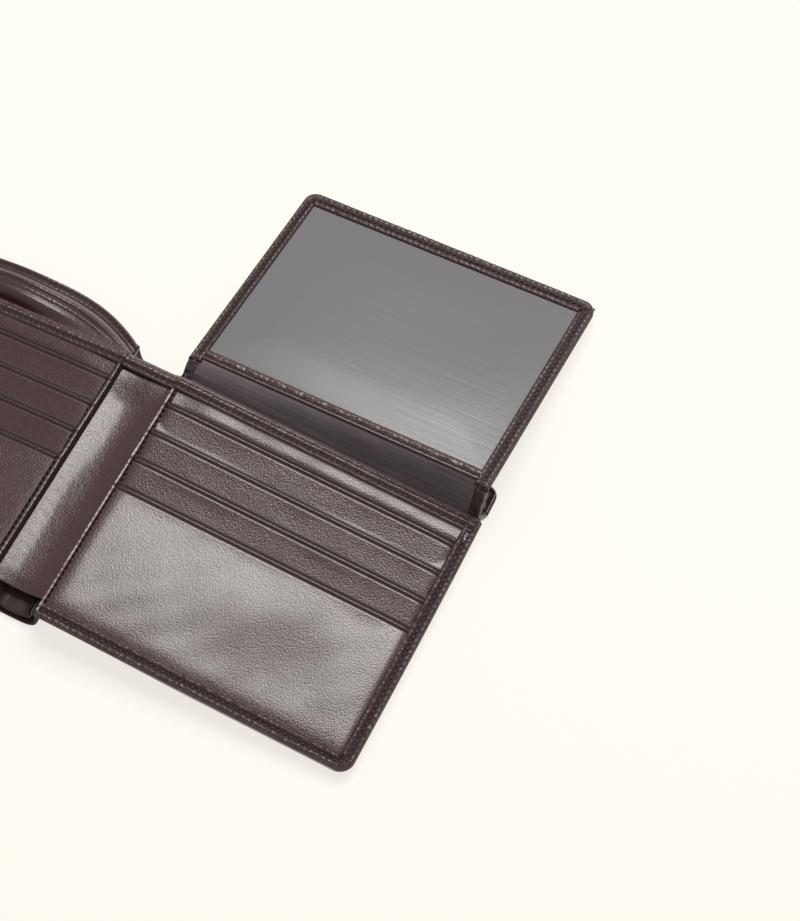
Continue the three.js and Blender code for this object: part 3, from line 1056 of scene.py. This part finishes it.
    def back_sheet(self, sheet: BackSheet) -> None:
        """Builds a sheet behind the card panel, with its turned mouth.

        Args:
            sheet: Its sizes and finish.
        """
        x = stations(-0.3, HALF_WIDTH - sheet.inset, 0.6, 1.2)
        share = np.concatenate([np.linspace(0, 0.78, 40), np.linspace(0.78, 1, 90)[1:]])
        x, t = grid(x, share)
        crest = mouth(x, sheet.height, sheet.inset)
        turned = np.clip(x - (HALF_WIDTH - sheet.inset - CORNER), 0, CORNER)
        round_corner = CORNER - np.sqrt(np.clip(CORNER**2 - turned**2, 0, None))
        low = sheet.inset + 0.6 - BORDER + round_corner
        y = low + t * (crest - low)
        above = eased((y - PANEL_HEIGHT - 1) / 4)
        free = np.clip(HALF_WIDTH - sheet.inset - x, 0, 40)
        d = np.minimum(crest - y, 40 * (1 - above) + free)
        belly = (2.2 if self.side == "left" else 0.4) * hump(x, 42, 15) * eased((y - 79.6) / 3.5)
        opened = belly + sheet.gape * belly
        z = sheet.level + 0.08 * ripple(x, y, 24, self.seed + 60) * above + opened
        if sheet.hem:
            beat = np.abs(np.sin(math.pi * (x + y) / STITCH_PITCH))
            ridges = 0.3 * hump(d, 0.8, 0.5) + 0.34 * hump(d, 2.8, 0.6) - 0.25 * hump(d, 1.75, 0.3)
            z = z + sheet.hem * above * (ridges * (0.8 + 0.4 * beat) - 0.3 * rounding(d, 0.5))
        lip = rounding(crest - y, sheet.skin * 0.45) * above
        top = z - lip
        base = sheet.level + opened - sheet.skin + lip
        x = x - 1.3 * (1 - above) * eased((x - HALF_WIDTH + 8) / 6)
        # Darkening of the turned mouth: the stitch groove, pressed and in painted shade, and a line of
        # painted shade below the inner ridge.
        dark = sheet.hem * above * (0.8 * hump(d, 1.75, 0.35) + 0.6 * hump(d, 4.3, 0.3))
        mesh = Mesh().slab(stacked(x, y, top), stacked(x, y, base), unit(dark))
        name = f"{sheet.node}_{self.side}"
        self.keep(mesh, f"{name}_sheet", sheet.finish, sheet.slot, name)

    def mouth_stitching(self) -> None:
        """Builds the stitches along the cover's mouth and down its free side to the hem."""
        x = np.linspace(0, HALF_WIDTH - 2.4, 400)
        path = np.column_stack([x, mouth(x, COVER_HEIGHT) - 1.75])
        y = np.linspace(COVER_HEIGHT - 2.6, PANEL_HEIGHT + 1.5, 40)
        path = np.concatenate([path, np.column_stack([np.full(40, HALF_WIDTH - 1.9), y])])
        thread = stitches(stacked(path[:, 0], path[:, 1], COVER_TOP + 0.02))
        self.keep(thread, f"mouth_thread_{self.side}", "waxed_thread", Slot.THREAD)

    def build(self) -> None:
        """Builds the half from its cover up."""
        for sheet in BACK_SHEETS:
            self.back_sheet(sheet)
        self.mouth_stitching()
        self.panel()
        for index in range(4):
            self.pocket(index)
        self.edge()
        self.hem()


def hem_surfaces(x: Points, t: Points, base: float, seed: int,
                 lift: Points | float = 0.0) -> tuple[Points, Points, Points]:
    """Gives the two faces of a folded hem.

    Args:
        x: Positions along it.
        t: Positions up it, from its lower edge.
        base: The level of its underside.
        seed: Which pattern of creases.
        lift: Added to both faces.

    Returns:
        The upper and the lower grid of points, and how dark the upper one is.
    """
    beat = np.abs(np.sin(math.pi * x / STITCH_PITCH)) ** 0.8
    uneven = ripple(x, t * 1.5, 3.4, seed)
    ridges = 0.25 * hump(t, 0.75, 0.45) + 0.4 * hump(t, 2.8, 0.8) - 0.3 * hump(t, 1.6, 0.36)
    puckers = (0.16 * hump(t, 0.8, 0.5) + 0.2 * hump(t, 2.5, 0.8)) * (beat + 0.7 * uneven)
    edge = np.minimum(t, HEM_WIDTH - t)
    top = base + 0.66 + ridges + puckers - rounding(edge, 0.4)
    # Darkening: the stitch groove, pressed and in painted shade; painted shade on both rounded edges and
    # between the puckers.
    dark = 0.85 * hump(t, 1.6, 0.4) + unit(1 - t / 0.35)
    dark = dark + (1 - beat) * (0.4 * hump(t, 0.9, 0.7) + 0.35 * hump(t, 2.3, 0.6))
    dark = unit(dark + unit(1 - (HEM_WIDTH - t) / 0.3))
    upper = stacked(x, HEM_START + t, top + lift)
    return upper, stacked(x, HEM_START + t, np.full_like(x, base) + lift), dark


@dataclass
class Spine(SubAssembly):
    """The soft middle: the strip between the card panels, its hem, and the trough of the cover.

    Attributes:
        reach: Half the strip's width.
        hem_reach: Half the width of the hem over it.
    """

    reach: float = 8.5
    hem_reach: float = 8.9

    def strip_level(self, x: Points) -> Points:
        """Gives the strip's height: it sags, and meets the right panel higher than the left one."""
        t = x / self.reach
        return 9.5 + 0.6 * t - 1.5 * (1 - t * t)

    def hem_level(self, x: Points) -> Points:
        """Gives the height of the hem's fold: it sags a little, and falls to the right."""
        t = x / self.hem_reach
        return 10.1 - 0.2 * (1 - t * t) - 0.25 * t

    def strip(self) -> None:
        """Builds the strip between the two card panels."""
        low, high = 1.4, HEM_START + 0.6
        x, y = grid(
            stations(0.1 - self.reach, self.reach - 0.1, 0.35, 0.5), stations(low, high, 0.5, 0.6)
        )
        wrinkles = 0.09 * ripple(x, y * 0.5, 11, self.seed) + 0.012 * ripple(x, y, 2.4, self.seed + 1)
        fade = eased(np.minimum(x + self.reach, self.reach - x) / 2)
        flat = 1 - (x / self.reach) ** 2
        sag = 0.5 * eased((6 - y) / 6) * flat
        rise = (0.3 - 0.35 * x / self.reach + flat) * eased((y - 64) / 11)
        z = self.strip_level(x) + wrinkles * fade - sag + rise
        lip = rounding(np.minimum(y - low, high - y), 0.3)
        mesh = Mesh().slab(stacked(x, y, z - lip), stacked(x, y, z - 0.6 + lip))
        self.keep(mesh, "spine_strip_leather", "crinkled_calf", Slot.CALF, "spine_strip")

    def hem(self) -> None:
        """Builds the hem over the spine in two pieces, a left one and a right one."""
        ends = (("left", -self.hem_reach, 0.0), ("right", 0.0, self.hem_reach))
        for side, start, end in ends:
            x, t = grid(stations(start, end, 0.3), stations(0, HEM_WIDTH, 0.16, 0.3))
            upper, lower, dark = hem_surfaces(x, t, 0.0, self.seed + 30, self.hem_level(x))
            lower[..., 2] -= 0.55
            hem = Mesh().slab(upper, lower, dark)
            along = np.linspace(start + 0.4, end - 0.1, 60)
            thread = stitches(stacked(along, HEM_SEAM, self.hem_level(along) + 0.5))
            for mesh, node, finish, slot in (
                (hem, "top_hem_spine", "turned_calf_edge", Slot.CALF),
                (thread, "hem_thread_spine", "waxed_thread", Slot.THREAD),
            ):
                piece = self.shop.dress(mesh.build(f"{node}_{side}", self.place), finish, slot, node)
                self.bend(piece, side, 0.3, 8.7)

    def bend(self, piece: bpy.types.Object, side: str, start: float, end: float) -> None:
        """Bakes a piece's placement into its points.

        Args:
            piece: The piece.
            side: Not used.
            start: Not used.
            end: Not used.
        """
        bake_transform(piece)

    def trough(self) -> None:
        """Builds the cover, lining and divider under the spine, each in two pieces."""
        end = COVER_HEIGHT - MOUTH_DROP
        folded = DIVIDER_HEIGHT - MOUTH_DROP
        calf, lining = ("glazed_calf", Slot.CALF), ("ribbed_lining", Slot.LINING)
        layers = (
            ("outer_cover_spine", 0.0, 1.4, -BORDER, end, 8.9, 7.9, *calf),
            ("cover_lining_spine", 1.75, 0.4, -2.6, end - 2.6, 6.4, 6.4, *lining),
            ("note_divider_spine", 2.45, 0.6, -3.0, folded, 5.5, 6.2, *calf),
        )
        for name, low, skin, start, end, reach, rise, finish, slot in layers:
            for side, sign in (("left", -1), ("right", 1)):
                s, y = grid(np.linspace(0, 1, 30), stations(start, end, 1.2, 1.0))
                bulge = 1.2 * (1 - s**2) * eased((8 - (y - start)) / 8)
                bulge = bulge + 2.4 * (1 - s) * eased((y - 66) / 16)
                x = reach * np.sin(s * math.pi / 2) ** 0.9
                z = low + (rise - low) * unit((s - 0.25) / 0.75) ** 2.2
                normal_x, normal_z = -unit(s - 0.2) * 0.75, 1 - 0.45 * s
                near = np.minimum(y - start, end - y)
                thin = rounding(near, skin * 0.45)
                outer = stacked(x, y - bulge, z + thin)
                inner = stacked(x + normal_x * skin, y - bulge, z + normal_z * skin - thin)
                outer[..., 0] *= sign
                inner[..., 0] *= sign
                # Painted shade darkening each piece towards both its ends: the cavity at the spine's
                # bottom and the tab at its top.
                worn_tone_and_end_shade = unit(1 - near / 9)
                mesh = Mesh().slab(inner[::sign], outer[::sign], worn_tone_and_end_shade[::sign])
                piece = self.shop.dress(mesh.build(f"{name}_{side}", self.place), finish, slot, name)
                self.bend(piece, side, reach * 0.5, reach)

    def build(self) -> None:
        """Builds the spine."""
        self.trough()
        self.strip()
        self.hem()


# The flap's turned frame, listed like BORDER_SECTION; its darkness is the iron's in the stitch groove
# and painted shade at the inner line and down the outer rim.
FLAP_SECTION = [
    BandPoint(*row)
    for row in (
        (-1.0, 0.45, 0, 1), (-0.99, 0.75, 0, 0.9), (-0.95, 0.98, 0.3, 0.5), (-0.86, 1.18, 0.9),
        (-0.74, 1.12, 0.9, 0.1), (-0.62, 0.85, 0.3, 0.6), (-0.53, 0.65, 0, 0.9),
        (-0.44, 0.85, 0.3, 0.6), (-0.34, 1.15, 0.9, 0.1), (0.9, 1.3, 1.1), (0.5, 1.2, 0.6),
        (0.2, 0.8, 0.15, 0.5), (0.03, 0.3, 0.1, 0.8), (0.0, -0.8, 0, 0.9), (0.15, -1.3, 0, 0.8),
        (0.5, -1.5, 0, 0.4), (2.2, -1.55), (2.2, -1.3), (0.7, -1.2), (0.45, -0.8), (0.45, 0.2),
        (0.8, 0.45),
    )
]


@dataclass
class Flap(SubAssembly):
    """The flap with the clear window: back, lining, film, turned frame and bar."""

    def settle(self, points: Points) -> None:
        """Lays a shell a little out of square, as the flap is cut."""
        x, y = points[:, 0].copy(), points[:, 1].copy()
        points[:, 0] = x + 0.9 * y / FLAP_LENGTH
        points[:, 1] = y * (1 - 0.010 + 0.022 * x / FLAP_WIDTH)

    def lines(self) -> tuple[Points, Points]:
        """Draws the frame up one arm, over the flap's end and down the other.

        Returns:
            The outer line and the inner line, with matching points.
        """
        step = 0.3
        r = FLAP_CORNER
        left, right = FLAP_LEFT, FLAP_RIGHT
        in_left, in_right, in_end = left + ARM_LEFT, right - ARM_RIGHT, FLAP_LENGTH - ARM_END
        outer, inner = [], []
        for y in np.arange(FLAP_HEEL, FLAP_LENGTH - r, step):
            outer.append((left, y))
            inner.append((in_left, min(y, in_end)))
        for a in np.linspace(math.pi, math.pi / 2, 22):
            outer.append((left + r + r * math.cos(a), FLAP_LENGTH - r + r * math.sin(a)))
            inner.append((in_left, in_end))
        for x in np.arange(left + r, right - r, step)[1:]:
            outer.append((x, FLAP_LENGTH))
            inner.append((min(max(x, in_left), in_right), in_end))
        for a in np.linspace(math.pi / 2, 0, 22):
            outer.append((right - r + r * math.cos(a), FLAP_LENGTH - r + r * math.sin(a)))
            inner.append((in_right, in_end))
        for y in np.arange(FLAP_LENGTH - r, FLAP_HEEL, -step)[1:]:
            outer.append((right, y))
            inner.append((in_right, min(y, in_end)))
        line_in = np.array(inner)
        for axis in (0, 1):
            padded = np.pad(line_in[:, axis], 3, mode="edge")
            line_in[:, axis] = np.convolve(padded, np.ones(7) / 7, "valid")
        return np.array(outer)[::-1], line_in[::-1]

    def frame(self) -> None:
        """Builds the turned leather frame on three sides of the window, with its stitching."""
        outer, inner = self.lines()
        mesh, middle = turned_band(outer, inner, FLAP_SECTION, self.seed, 0.33)
        self.keep(mesh, "flap_binding_leather", "turned_calf_edge", Slot.EDGE, "flap_binding")
        self.sew("flap_thread", stacked(middle[:, 0], middle[:, 1], 1.0)[4:-4])

    def bar(self) -> None:
        """Builds the leather bar under the window, with a row of stitches near its lower edge."""
        left, right = FLAP_LEFT + ARM_LEFT, FLAP_RIGHT - ARM_RIGHT
        x, t = grid(stations(left - 0.6, right + 0.6, 0.3), stations(0, BAR_WIDTH, 0.15, 0.3))
        beat = np.abs(np.sin(math.pi * x / STITCH_PITCH)) ** 0.8
        uneven = ripple(x, t * 2, 3.0, self.seed + 3)
        ridges = 0.18 * hump(t, 0.55, 0.4) + 0.25 * hump(t, 2.5, 0.7) - 0.2 * hump(t, 1.35, 0.3)
        top = 0.95 + ridges + 0.14 * (beat + uneven) * hump(t, 2.2, 0.9)
        top = top - rounding(np.minimum(t, BAR_WIDTH - t), 0.3)
        # Darkening: the stitch groove, pressed and in painted shade; painted shade between the puckers
        # and on both rounded edges.
        dark = 0.85 * hump(t, 1.35, 0.36) + 0.4 * (1 - beat) * hump(t, 2.3, 0.9)
        dark = unit(dark + unit(1 - t / 0.3) + unit(1 - (BAR_WIDTH - t) / 0.25))
        y = BAR_START + t
        mesh = Mesh().slab(stacked(x, y, top), stacked(x, y, 0.5), dark)
        self.keep(mesh, "window_bar_leather", "turned_calf_edge", Slot.EDGE, "window_bar")
        seam = BAR_START + 1.35
        self.sew("bar_thread", np.linspace((left + 0.4, seam, 0.98), (right - 0.4, seam, 0.98), 300))

    def sheets(self) -> None:
        """Builds the leather back, the ribbed lining and the clear film."""
        left, right, high = FLAP_LEFT + 0.5, FLAP_RIGHT - 0.5, FLAP_LENGTH - 0.5
        x, y = grid(stations(left, right, 1.0, 1.0), stations(2.0, high, 1.0, 1.0))
        near = np.minimum(np.minimum(x - left, right - x), high - y)
        soft = 0.12 * ripple(x, y, 24, self.seed + 5) * eased(near / 6)
        back = -1.45 - soft * 0.6 + rounding(near, 0.3)
        mesh = Mesh().slab(stacked(x, y, -0.65), stacked(x, y, back))
        self.keep(mesh, "flap_back_leather", "glazed_calf", Slot.CALF, "flap_back")
        across = stations(FLAP_LEFT + 0.8, FLAP_RIGHT - 0.8, 1.5)
        x, y = grid(across, stations(BAR_START + 0.7, FLAP_LENGTH - 1, 1.5))
        mesh = Mesh().slab(stacked(x, y, -0.02 + 0.05 * ripple(x, y, 15, 31)), stacked(x, y, -0.4))
        self.keep(mesh, "flap_lining_cloth", "ribbed_lining", Slot.LINING, "flap_lining")
        left, right = FLAP_LEFT + ARM_LEFT - 1.6, FLAP_RIGHT - ARM_RIGHT + 1.6
        low, high = BAR_START + BAR_WIDTH - 1.6, FLAP_LENGTH - ARM_END + 1.6
        x, y = grid(stations(left, right, 1.0), stations(low, high, 1.0))
        near = np.minimum(np.minimum(x - left, right - x), np.minimum(y - low, high - y))
        bow = (0.1 * ripple(x, y, 60, 77) + 0.1) * eased(near / 16)
        mesh = Mesh().slab(stacked(x, y, 0.44 + bow), stacked(x, y, 0.26 + bow))
        self.keep(mesh, "id_window_film", "clear_film", Slot.CLEAR, "id_window")

    def gusset(self) -> None:
        """Builds the lining between the card panel and the flap: its foot, its fold over to the flap,
        and the leather edges of the fold.
        """
        left, right = FLAP_LEFT + 1.0, FLAP_RIGHT - 1.0
        foot, lean = np.array(GUSSET_FOOT), np.array(LEAN)
        x, s = grid(stations(left, right, 1.6), np.linspace(-1.6, 3.0, 14))
        up = np.clip(s, 0, None)[..., None] * lean
        back = np.clip(s, None, 0)[..., None] * np.array([0, 1.0, 0])
        centre = foot + up + back
        centre[..., 0] = x
        half = np.array([0, -math.sin(GUSSET_LEAN), math.cos(GUSSET_LEAN)]) * 0.2
        mesh = Mesh().slab(centre + half, centre - half)
        piece = self.shop.dress(
            mesh.build("flap_gusset_foot", RIGHT_PLACE), "ribbed_lining", Slot.LINING, "flap_gusset"
        )
        start, end = (tuple(RIGHT_PLACE.lay(foot + lean * k) * MM) for k in (-0.2, 1.8))
        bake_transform(piece)
        parts = (
            ("flap_gusset_fold", "ribbed_lining", Slot.LINING, 0.0, ((left, right),)),
            ("flap_gusset_edges", "turned_calf_edge", Slot.EDGE, 0.45,
             ((FLAP_LEFT, FLAP_LEFT + 3.4), (FLAP_RIGHT - 4.0, FLAP_RIGHT))),
        )
        for name, finish, slot, proud, spans in parts:
            mesh = Mesh()
            for first, last in spans:
                mesh.slab(*self.folded(first, last, proud))
            piece = self.shop.dress(mesh.build(name, WORLD), finish, slot, "flap_gusset")
            tuple(RIGHT_PLACE.lay(foot + lean * 2.8) * MM)
            tuple(self.place.lay(np.array([0.0, 1.4, 0.0])) * MM)
            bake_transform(piece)

    def folded(self, first: float, last: float, proud: float) -> tuple[Points, Points]:
        """Gives the two faces of a strip from the gusset's foot over the fold to the flap.

        Args:
            first: Where the strip starts along the fold.
            last: Where it ends.
            proud: How far its upper face stands above the lining's.

        Returns:
            The upper and the lower grid of points.
        """
        x, s = grid(stations(first, last, 0.5), np.linspace(0, 1, 24))
        foot, lean = np.array(GUSSET_FOOT), np.array(LEAN)
        low, rise = (
            RIGHT_PLACE.lay(stacked(x, foot[1] + lean[1] * k, foot[2] + lean[2] * k)) for k in (0.6, 3.4)
        )
        turn = self.place.lay(stacked(x, 1.1, 0.2))
        high = self.place.lay(stacked(x, BAR_START + 0.8, 0.3))
        t = s[..., None]
        centre = (1 - t) ** 3 * low + 3 * t * (1 - t) ** 2 * rise
        centre = centre + 3 * t * t * (1 - t) * turn + t**3 * high
        out = self.place.turn @ np.array([0, -0.5, 0.86])
        edge = np.minimum(x - first, last - x)[..., None]
        creases = proud * 0.9 * ripple(x, s * 9, 2.2, 811)[..., None] * unit(edge)
        top = 0.15 + proud + creases - rounding(edge, 0.14 + proud)
        return centre + out * top, centre - out * 0.15

    def build(self) -> None:
        """Builds the flap."""
        self.sheets()
        self.frame()
        self.bar()
        self.gusset()


@dataclass
class Studio:
    """The pale floor, the soft box and the camera.

    Attributes:
        focal: The lens, in millimetres on a 36 mm sensor.
        eye: Where the camera stands, in metres.
        right: The direction on its right.
        down: The direction below it.
        forward: Where it looks.
    """

    focal: float = 82.87
    eye: tuple[float, float, float] = (0.19633, -0.19480, 0.56154)
    right: tuple[float, float, float] = (0.89329, 0.44949, 0.0)
    down: tuple[float, float, float] = (0.40580, -0.80647, -0.43003)
    forward: tuple[float, float, float] = (-0.19329, 0.38414, -0.90281)

    def camera(self) -> None:
        """Places the camera."""
        data = bpy.data.cameras.new("camera")
        data.lens = self.focal
        data.sensor_width = 36.0
        data.clip_start = 0.01
        camera = bpy.data.objects.new("camera", data)
        bpy.context.scene.collection.objects.link(camera)
        columns = [Vector(self.right), -Vector(self.down), -Vector(self.forward)]
        for row in range(3):
            for column in range(3):
                camera.matrix_world[row][column] = columns[column][row]
        camera.location = Vector(self.eye)
        bpy.context.scene.camera = camera

    def floor(self) -> None:
        """Lays a plain pale floor."""
        x, y = grid(np.array([-3000.0, 3000.0]), np.array([-3000.0, 3000.0]))
        floor = Mesh().slab(stacked(x, y, -0.05), stacked(x, y, -5.0)).build("floor", WORLD)
        material, tree, _ = start_material("pale_floor")
        surface = {
            "Base Color": to_linear("#7E7D7A"),
            "Roughness": 0.9,
            "Specular IOR Level": 0.1,
            "Emission Color": to_linear("#FFFBF3"),
            "Emission Strength": 0.775,
        }
        finish_material(tree, surface)
        floor.data.materials.append(material)

    def lamp(self, name: str, at: Sequence[float], aim: Sequence[float], size: Sequence[float],
             power: float) -> None:
        """Hangs one soft box.

        Args:
            name: The lamp's name.
            at: Where it hangs, in metres.
            aim: The point that it faces.
            size: Its width and height.
            power: In watts.
        """
        data = bpy.data.lights.new(name, "AREA")
        data.shape = "RECTANGLE"
        data.size, data.size_y = size
        data.energy = power
        data.color = to_linear("#FFFEF9")[:3]
        lamp = bpy.data.objects.new(name, data)
        bpy.context.scene.collection.objects.link(lamp)
        lamp.location = Vector(at)
        lamp.rotation_euler = (Vector(aim) - Vector(at)).to_track_quat("-Z", "Y").to_euler()

    def build(self) -> None:
        """Sets up the studio."""
        self.camera()
        self.floor()
        self.lamp("soft_box", (0.06, 0.625, 1.15), (0.06, 0.12, 0.0), (0.78, 0.72), 16.0)
        world = bpy.data.worlds.new("studio")
        world.use_nodes = True
        background = world.node_tree.nodes["Background"]
        background.inputs["Color"].default_value = to_linear("#FFFDF8")
        background.inputs["Strength"].default_value = 0.38
        bpy.context.scene.world = world
        bpy.context.scene.view_settings.view_transform = "Standard"


def main() -> None:
    """Builds the wallet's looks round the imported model."""
    logging.basicConfig(level=logging.INFO, format="%(message)s")
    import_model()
    shop = Workshop()
    shop.stock()
    CardHalf(shop, RIGHT_PLACE, Body.RIGHT, 100, "right").build()
    CardHalf(shop, LEFT_PLACE, Body.LEFT, 200, "left").build()
    Spine(shop, ORIGIN, Body.SPINE, 400).build()
    Flap(shop, FLAP_PLACE, Body.FLAP, 700).build()
    Studio().build()


if __name__ == "__main__":
    main()
